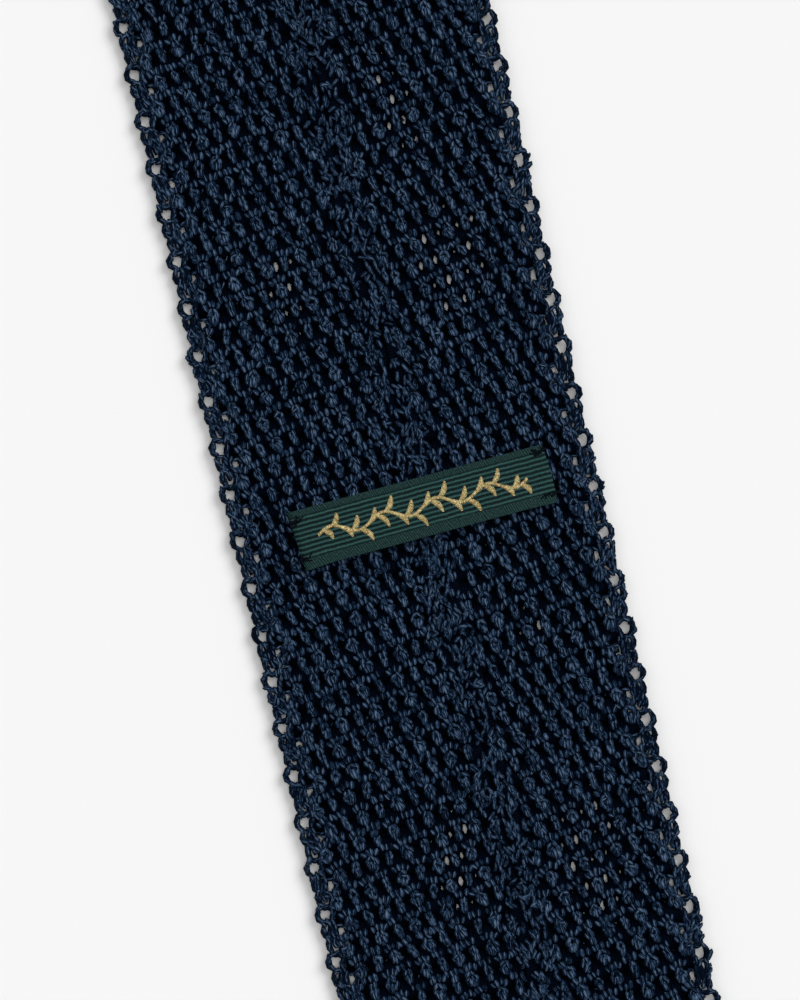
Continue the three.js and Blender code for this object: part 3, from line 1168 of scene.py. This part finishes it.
class TIE_OT_keeper_ribbon(bpy.types.Operator):
    """Lays the ribbed ribbon over the seam, with both ends folded under"""

    bl_idname = "tie.keeper_ribbon"
    bl_label = "Keeper Ribbon"

    def execute(self, context):
        sizes = context.scene.tie_ribbon
        bpy.ops.object.select_all(action="DESELECT")
        bpy.ops.mesh.primitive_grid_add(x_subdivisions=60, y_subdivisions=80, size=1)
        piece = context.object
        piece.name = piece.data.name = "ribbed_keeper_ribbon"
        mesh = piece.data
        corners = corners_of(mesh)
        reach = sizes.length / 2 + math.pi * FOLD + HEM
        along, v = corners[:, 0] * 2 * reach, corners[:, 1] * 2
        mesh.vertices.foreach_set("co", self.folded(along, v, sizes).ravel())
        layer = mesh.uv_layers.active
        layer.name = "Ribbon"
        index = np.empty(len(mesh.loops), np.int32)
        mesh.loops.foreach_get("vertex_index", index)
        uv = np.stack([along[index] / MM, v[index]], axis=1)
        layer.data.foreach_set("uv", uv.ravel())
        mesh.update()
        thick = piece.modifiers.new("Thickness", "SOLIDIFY")
        thick.thickness = sizes.thickness
        thick.offset = -1
        bpy.ops.object.modifier_apply(modifier=thick.name)
        bpy.ops.object.shade_smooth()
        mesh.materials.append(self.grosgrain(sizes))
        dress(piece, "keeper_ribbon")
        return {"FINISHED"}

    def folded(self, along, v, sizes):
        """Corners of the ribbon by their place along it and across it, with both ends turned under."""
        half = sizes.length / 2
        past_face = np.abs(along) - (half - FOLD)
        bend = np.clip(past_face / FOLD, 0, math.pi)
        face = np.clip(np.abs(along), 0, half - FOLD)
        under = np.clip(past_face - math.pi * FOLD, 0, None)
        x = np.sign(along) * (face + FOLD * np.sin(bend) - under)
        arch = np.where(bend < 0.5, ARCH * (1 - (x / half) ** 2), 0.0)
        z = RIBBON_BASE - FOLD * (1 - np.cos(bend)) + arch + RIB_HEIGHT * self.ribs(v)

        # the lower corners flare, the right end bulges and the left end leans
        left = x < 0
        flare = np.exp(-((np.abs(x) - half) / (3.5 * MM)) ** 2) * (v < 0) * v ** 2
        y = v * sizes.width / 2 - 0.32 * MM * flare * np.where(left, 1.0, 0.5)
        bulge = 0.28 * MM * (1 - v ** 2) * (x > half - 3 * MM)
        x = x + bulge - v * np.where(left, 0.25 * MM, 0.05 * MM)
        return turned(x, y, z, sizes)

    def ribs(self, v):
        """Raised ribs, and the selvedges a little above the middle of their height."""
        turns = RIBS * (v - LOW_SELVEDGE) / (HIGH_SELVEDGE - LOW_SELVEDGE)
        between_selvedges = (v > LOW_SELVEDGE) & (v < HIGH_SELVEDGE)
        return np.where(between_selvedges, -np.cos(2 * math.pi * turns), 0.2)

    def grosgrain(self, sizes):
        """Ribbed ribbon: painted shade in the grooves and on the low threads, fine cross threads and a
        slanting weave on the selvedges.
        """
        cross_thread = 0.26
        slant_thread = 0.40
        slant_turns = 4
        full_turn = 2 * math.pi
        graph = Graph("green_grosgrain", specular=0.08)
        place, u, v = graph.place("Ribbon")
        wander = graph.math("ADD", graph.noise(place, 0.45, 2.0), -0.5)

        # the ribs, with fine threads across them
        rib_turn = full_turn * RIBS / (HIGH_SELVEDGE - LOW_SELVEDGE)
        turns = graph.math("MULTIPLY_ADD", v, rib_turn, -rib_turn * LOW_SELVEDGE)
        turns = graph.math("MULTIPLY_ADD", wander, 2.4, turns)
        rib = graph.math("MULTIPLY_ADD", graph.math("COSINE", turns), -0.5, 0.5)
        threads = graph.math("SINE", graph.math("MULTIPLY", u, full_turn / cross_thread))
        rib_height = graph.math("MULTIPLY_ADD", threads, 0.14, rib)

        # the selvedges
        hatching = graph.math("MULTIPLY", v, full_turn * slant_turns)
        hatching = graph.math("MULTIPLY_ADD", u, full_turn / slant_thread, hatching)
        slant = graph.math("SINE", graph.math("MULTIPLY_ADD", wander, 16.0, hatching))
        edge_height = graph.math("MULTIPLY_ADD", slant, 0.24, 0.44)

        above_low = graph.math("GREATER_THAN", v, LOW_SELVEDGE)
        inside = graph.math("MULTIPLY", above_low, graph.math("LESS_THAN", v, HIGH_SELVEDGE))
        outside = graph.math("SUBTRACT", 1.0, inside)
        woven = graph.math("MULTIPLY", edge_height, outside)
        woven = graph.math("MULTIPLY_ADD", rib_height, inside, woven)
        thread_u, thread_v = graph.math("MULTIPLY", u, 2.2), graph.math("MULTIPLY", v, 16.0)
        thread = graph.node("ShaderNodeCombineXYZ", "Vector", X=thread_u, Y=thread_v)
        uneven = graph.math("MULTIPLY_ADD", graph.noise(thread, 1.0, 3.0, 0.6), 1.1, -0.55)
        height = graph.math("ADD", woven, uneven)
        # painted shade: the lower the relief, the nearer the colour goes to the near-black groove colour, and
        # raised threads keep the ribbon's own colour
        painted_shading = graph.math("POWER", graph.math("MAXIMUM", height, 0.0), 1.7)
        colour = graph.blend(painted_shading, sizes.groove_painted_shade_colour, sizes.ribbon_colour)
        return graph.finish(colour, 0.7, height, 0.6, 0.08 * MM)


class TIE_OT_embroidery(bpy.types.Operator):
    """Embroiders a gold vine along the ribbon in satin stitch"""

    bl_idname = "tie.embroidery"
    bl_label = "Gold Embroidery"

    leaves = 23
    reach = 18.2 * MM
    rise = 0.95 * MM
    lean = math.radians(54)
    curl = 0.40 * MM

    def execute(self, context):
        sizes = context.scene.tie_ribbon
        rng = np.random.default_rng(9)
        skein = Skein()
        stem_width = 0.50 * MM
        stem = np.stack(self.stem(np.linspace(-1, 1, 400)), axis=1)
        self.satin(skein, stem, stem_width, stem_width, sizes, rng)
        for i, centre in enumerate(np.linspace(-0.95, 0.93, self.leaves)):
            way = 1 if i % 2 else -1
            self.satin(skein, self.leaf(centre, way), 0.30 * MM, 0.92 * MM, sizes, rng)
        # painted shade on the thread's sides and ends, its own gold in the middle and painted sheen on its
        # crown
        shade, middle = (0.18, 0.11, 0.03), (0.70, 0.54, 0.22)
        material = silk("gold_embroidery_thread", shade, middle, sizes.gold_and_painted_sheen_colour)
        skein.build("gold_vine_embroidery", material, None)
        return {"FINISHED"}

    def stem(self, t):
        """The wavy stem, from -1 at its left end to 1 at its right."""
        return self.reach * t, self.rise * np.sin(t * 4 * math.pi)

    def leaf(self, centre, way):
        """The middle line of one leaf, which leans off the stem upwards or downwards."""
        x, y = self.stem(centre)
        lean = self.lean * way
        long = (2.9 - 0.9 * abs(centre) ** 3) * MM
        k = np.linspace(0, 1, 30)
        curl = self.curl * np.sin(math.pi * k) * way
        across = x + k * long * math.cos(lean) + curl * math.sin(lean)
        along = y + k * long * math.sin(lean) - curl * math.cos(lean)
        return np.stack([across, along], axis=1)

    def satin(self, skein, path, thin, thick, sizes, rng):
        """Close stitches across a path, from thin at its ends to thick in its middle."""
        pitch = 0.17 * MM
        slant = 0.35
        radius = 0.105 * MM
        along = distances(path)
        count = max(3, int(along[-1] / pitch))
        at = np.linspace(0, along[-1], count)
        middle = np.stack([np.interp(at, along, path[:, k]) for k in (0, 1)], axis=1)
        run = unit(np.gradient(middle, axis=0))
        across = np.stack([-run[:, 1], run[:, 0]], axis=1) + slant * run
        share = np.sin(math.pi * np.linspace(0, 1, count))
        wide = (thin + (thick - thin) * share)[:, None] / 2
        wide = wide * rng.normal(1, 0.06, (count, 1))
        t = np.array([-1.0, 0.0, 1.0])
        flat = middle[:, None] + across[:, None] * wide[:, None] * t[None, :, None]
        lift = np.array([-0.02, 0.16, -0.02]) * MM
        lines = on_ribbon(flat[..., 0], flat[..., 1], lift[None], sizes)
        skein.add(lines, np.full((count, 3), radius), 4, rng.normal(0, 1, count))


class TIE_OT_tacking(bpy.types.Operator):
    """Sews the ribbon's corners down with dark thread"""

    bl_idname = "tie.tacking"
    bl_label = "Tacking Stitches"

    # for each corner: its side, its place up the ribbon, its length and how much of that is beyond
    # the ribbon's end, in millimetres
    corners = (
        (-1, 3.3, 1.8, 0.0),
        (-1, -3.3, 1.7, 0.1),
        (1, 3.9, 2.1, 0.1),
        (1, -3.5, 3.0, 0.8),
    )
    stitches = 10
    radius = 0.12 * MM

    def execute(self, context):
        sizes = context.scene.tie_ribbon
        rng = np.random.default_rng(3)
        skein = Skein()
        half = sizes.length / 2
        t = np.linspace(-1, 1, 5)
        lift = (0.14 - 0.22 * t ** 2) * MM
        for side, row, long, beyond in self.corners:
            for at in np.linspace(-beyond, long - beyond, self.stitches):
                x = side * (half - (at + rng.normal(0, 0.12)) * MM)
                y = (row + rng.normal(0, 0.22)) * MM
                lean = rng.normal(0, 0.7)
                reach = rng.uniform(0.35, 0.75) * MM
                across = x + t * reach * math.cos(lean) + rng.normal(0, 0.04 * MM, len(t))
                along = y + t * reach * math.sin(lean)
                line = on_ribbon(across, along, lift, sizes)
                skein.add(line[None], np.full((1, len(t)), self.radius), 5, np.array([0.0]))
        # painted shade on the thread's sides and ends, its own dark colour in the middle and painted sheen on
        # its crown
        shade, middle = (0.001, 0.001, 0.001), (0.003, 0.003, 0.004)
        material = silk("dark_tacking_thread", shade, middle, sizes.tack_and_painted_sheen_colour)
        skein.build("corner_tacking_stitches", material, None)
        return {"FINISHED"}


class TIE_OT_stage(bpy.types.Operator):
    """Sets the pale floor, the soft light and the camera"""

    bl_idname = "tie.stage"
    bl_label = "Stage"

    picture_height = 1000
    sensor = 36

    def execute(self, context):
        sizes = context.scene.tie_stage
        scene = context.scene
        bpy.ops.object.select_all(action="DESELECT")
        bpy.ops.mesh.primitive_plane_add(size=60, location=(0, 0, BODY_LOW[2]))
        floor = context.object
        floor.name = "floor"
        paper = Graph("pale_floor", specular=0.1)
        floor.data.materials.append(paper.finish((*sizes.floor_colour, 1), 0.9))

        world = bpy.data.worlds.new("studio")
        scene.world = world
        world.use_nodes = True
        sky = world.node_tree.nodes["Background"]
        sky.inputs["Color"].default_value = (1, 1, 1, 1)
        sky.inputs["Strength"].default_value = 0.30
        for name, strength, spread_angle, azimuth, elevation in (
            ("key_light", 1.95, 34, 62, 50),
            ("top_light", 0.88, 26, 62, 87),
            ("fill_light", 0.40, 60, -40, 60),
        ):
            bpy.ops.object.light_add(type="SUN", location=(0, 0, 3))
            lamp = context.object
            lamp.name = name
            lamp.data.energy = strength
            lamp.data.angle = math.radians(spread_angle)
            lamp.rotation_euler = (0, math.radians(90 - elevation), math.radians(90 - azimuth))
        distance = self.picture_height / sizes.photo_pixels * sizes.lens / self.sensor
        bpy.ops.object.camera_add(
            location=(sizes.aim_x, RIBBON_Y + sizes.aim_y, distance), rotation=(0, 0, -sizes.roll))
        camera = context.object
        camera.data.lens = sizes.lens
        camera.data.sensor_width = self.sensor
        camera.data.clip_end = 100
        scene.camera = camera
        scene.view_settings.view_transform = "Standard"
        return {"FINISHED"}


class TIE_PT_panel(bpy.types.Panel):
    """Lists the steps that dress the tie"""

    bl_label = "Knit Tie"
    bl_idname = "TIE_PT_panel"
    bl_space_type = "VIEW_3D"
    bl_region_type = "UI"
    bl_category = "Knit Tie"

    def draw(self, context):
        for step in STEPS:
            self.layout.operator(step.bl_idname)


STEPS = (
    TIE_OT_stage,
    TIE_OT_knit_back,
    TIE_OT_knit_front,
    TIE_OT_inner_rows,
    TIE_OT_picot_edges,
    TIE_OT_end_hems,
    TIE_OT_back_seam,
    TIE_OT_keeper_ribbon,
    TIE_OT_embroidery,
    TIE_OT_tacking,
)
GROUPS = (
    ("tie_knit", KnitSizes),
    ("tie_seam", SeamSizes),
    ("tie_ribbon", RibbonSizes),
    ("tie_stage", StageSizes),
)


def register():
    for name, group in GROUPS:
        bpy.utils.register_class(group)
        setattr(bpy.types.Scene, name, bpy.props.PointerProperty(type=group))
    for step in (*STEPS, TIE_PT_panel):
        bpy.utils.register_class(step)


def unregister():
    for step in reversed((*STEPS, TIE_PT_panel)):
        bpy.utils.unregister_class(step)
    for name, group in reversed(GROUPS):
        delattr(bpy.types.Scene, name)
        bpy.utils.unregister_class(group)


def main():
    register()
    for step in STEPS:
        group, name = step.bl_idname.split(".")
        getattr(getattr(bpy.ops, group), name)()


if __name__ == "__main__":
    main()
